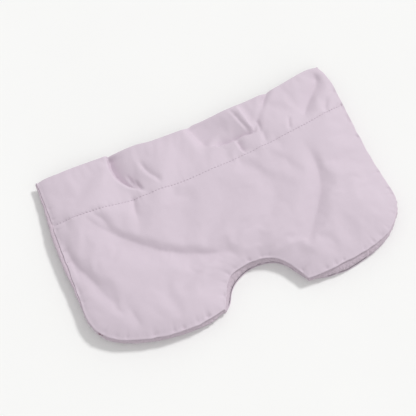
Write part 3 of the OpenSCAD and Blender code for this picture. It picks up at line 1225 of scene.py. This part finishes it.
def pouch_points(panel):
    """Both cloths of the insert, the upper one kept below the case's front panel."""
    middle = INSERT_Z + 0.4 * INSERT_T
    height = pouch_heights(panel)
    top = with_z(in_case(panel.flat), 0)
    low = top + lift_z(np.maximum(middle - 0.8 * height, INSERT_Z))
    top[:, 2] = middle + 1.25 * height
    for p in top:
        roof = height_at(front_tree, p[0], p[1], middle + INSERT_CLEAR)
        p[2] = min(p[2], roof - INSERT_CLEAR)
    rim = panel.gap < 0.01
    top[rim, 2] = low[rim, 2] = middle - 0.4
    return top, low


def pouch_panels():
    panel = Panel(POUCH, [0, 0.7, 1.5, 2.5, 3.7], POUCH_GRID)
    top, low = pouch_points(panel)
    top, low = puffed(panel, top, low)
    for name, node, points, faces in (
            ("insert_front", "insert_front_panel", top, panel.faces),
            ("insert_back", "insert_back_panel", low, [face[::-1] for face in panel.faces])):
        piece = mesh_piece(name, node, points, faces, calico, "insert", panel.flat)
        thicken(piece, CALICO_T)
    return panel, top, low


def puffed(panel, top, low):
    """The insert after the seeds have pressed its cloths out and the seams have puckered."""
    count = len(top)
    rim = len(POUCH.points)
    match = np.concatenate([np.arange(rim), np.arange(rim, count) + count - rim])
    faces = list(panel.faces) + [tuple(match[i] for i in face[::-1]) for face in panel.faces]
    points = np.concatenate([top, low[rim:]])
    flat_side = np.flatnonzero(points[:, 2] < INSERT_Z + 0.2)
    moved = settled(points, faces, flat_side, frames=14, cap=1.0, ease=0.01, pressure=2.0)
    new_top = moved[:count]
    new_low = moved[match]
    new_top[:, 2] = np.minimum(new_top[:, 2], np.maximum(top[:, 2], low[:, 2] + 0.3) + 0.3)
    return new_top, new_low


WHIP_PITCH = 2.4       # from one whip stitch to the next
WHIP_LEAN = 1.3        # how far each runs along the edge
WHIP_R = 0.75


def insert_trim(top):
    """The rounded seam edge of the insert, and the whip stitches that close its filling gap."""
    rim = len(POUCH.points)
    z = top[0, 2]
    line3 = top[list(range(rim)) + [0, 1]]
    points, faces = tubes([resampled(line3, 1.5)], radius=0.45, sides=8)
    mesh_piece("insert_seam_edge", "insert_seam", points, faces,
               calico_thread, "insert")
    low, high = box_mm("insert_closing_stitches")
    turn = np.radians(np.linspace(-200, 20, 9)) + 1.57
    whips = []
    for x in np.arange(low[0] + 1, high[0] - 1, WHIP_PITCH):
        edge = in_case(np.array([[x, POUCH.mouth_y]]))[0, 1] - 0.3
        across = x + np.linspace(0, WHIP_LEAN, len(turn))
        whips.append(np.column_stack([across, edge + WHIP_R * np.cos(turn),
                                      z + WHIP_R * np.sin(turn)]))
    points, faces = tubes(whips, radius=0.18, sides=5)
    mesh_piece("insert_closing", "insert_closing_stitches", points, faces,
               calico_thread, "insert")


def seed_mass(panel, top, low):
    """The seeds as one lumpy mass just inside the insert's cloths."""
    inner = panel.gap > 2
    middle = (top[:, 2] + low[:, 2]) / 2
    grains = 0.25 * rough(with_z(panel.flat, 0), size=1.7, seed=31)
    high = np.maximum(top[:, 2] - 0.9 + grains, middle + 0.1)
    deep = np.minimum(low[:, 2] + 0.7 - grains, middle - 0.1)
    number = np.cumsum(inner) - 1
    half = [tuple(number[list(face)]) for face in panel.faces if all(inner[list(face)])]
    count = int(inner.sum())
    edges = {}
    for face in half:
        for a, b in zip(face, face[1:] + face[:1]):
            edges[(a, b)] = (b, a) not in edges
            if not edges[(a, b)]:
                edges[(b, a)] = False
    rim = [edge for edge, alone in edges.items() if alone]
    faces = half + [tuple(i + count for i in face[::-1]) for face in half]
    faces += [(b, a, a + count, b + count) for a, b in rim]
    points = np.concatenate([np.column_stack([top[inner, :2], high[inner]]),
                             np.column_stack([low[inner, :2], deep[inner]])])
    piece = mesh_piece("seed_mass", "seed_fill", points, faces, seeds, "insert")


pouch_panel, pouch_top, pouch_low = pouch_panels()
insert_trim(pouch_top)
seed_mass(pouch_panel, pouch_top, pouch_low)


# ======== floor, light and camera
CAMERA_AZIMUTH = -24.3
CAMERA_ELEVATION = 67
CAMERA_DISTANCE = 801
CAMERA_TARGET = (-10, 4, 12)
CAMERA_LENS = 95.2
KEY_AZIMUTH = 110.3
KEY_ELEVATION = 47
KEY_DISTANCE = 1200
KEY_STRENGTH = 1.6
KEY_SPREAD = 10        # degrees, which softens the shadow's edge
SKY_STRENGTH = 0.69
FLOOR_HALF = 3.0       # metres


def towards(azimuth, elevation):
    """The way from the object to a place at that azimuth and elevation; azimuth 0 is at -Y."""
    a, e = math.radians(azimuth), math.radians(elevation)
    return Vector((math.sin(a) * math.cos(e), -math.cos(a) * math.cos(e), math.sin(e)))


def aim(thing, target, way, distance):
    thing.location = (Vector(target) + way * distance) * MM
    thing.rotation_euler = (-way).to_track_quat("-Z", "Y").to_euler()
    bpy.context.scene.collection.objects.link(thing)


def floor():
    mesh = bpy.data.meshes.new("floor")
    corners = [(x * FLOOR_HALF, y * FLOOR_HALF, 0) for x, y in ((-1, -1), (1, -1), (1, 1), (-1, 1))]
    mesh.from_pydata(corners, [], [(0, 1, 2, 3)])
    plane = bpy.data.objects.new("floor", mesh)
    bpy.context.scene.collection.objects.link(plane)
    mesh.materials.append(floor_white)


floor()
camera = bpy.data.objects.new("camera", bpy.data.cameras.new("camera"))
camera.data.lens = CAMERA_LENS
aim(camera, CAMERA_TARGET, towards(CAMERA_AZIMUTH, CAMERA_ELEVATION), CAMERA_DISTANCE)
bpy.context.scene.camera = camera

key = bpy.data.objects.new("key", bpy.data.lights.new("key", "SUN"))
key.data.energy = KEY_STRENGTH
key.data.angle = math.radians(KEY_SPREAD)
aim(key, (0, 0, 0), towards(KEY_AZIMUTH, KEY_ELEVATION), KEY_DISTANCE)

world = bpy.data.worlds.new("world")
world.use_nodes = True
sky = world.node_tree.nodes["Background"]
sky.inputs["Color"].default_value = (1, 1, 1, 1)
sky.inputs["Strength"].default_value = SKY_STRENGTH
bpy.context.scene.world = world
bpy.context.scene.view_settings.view_transform = "Standard"
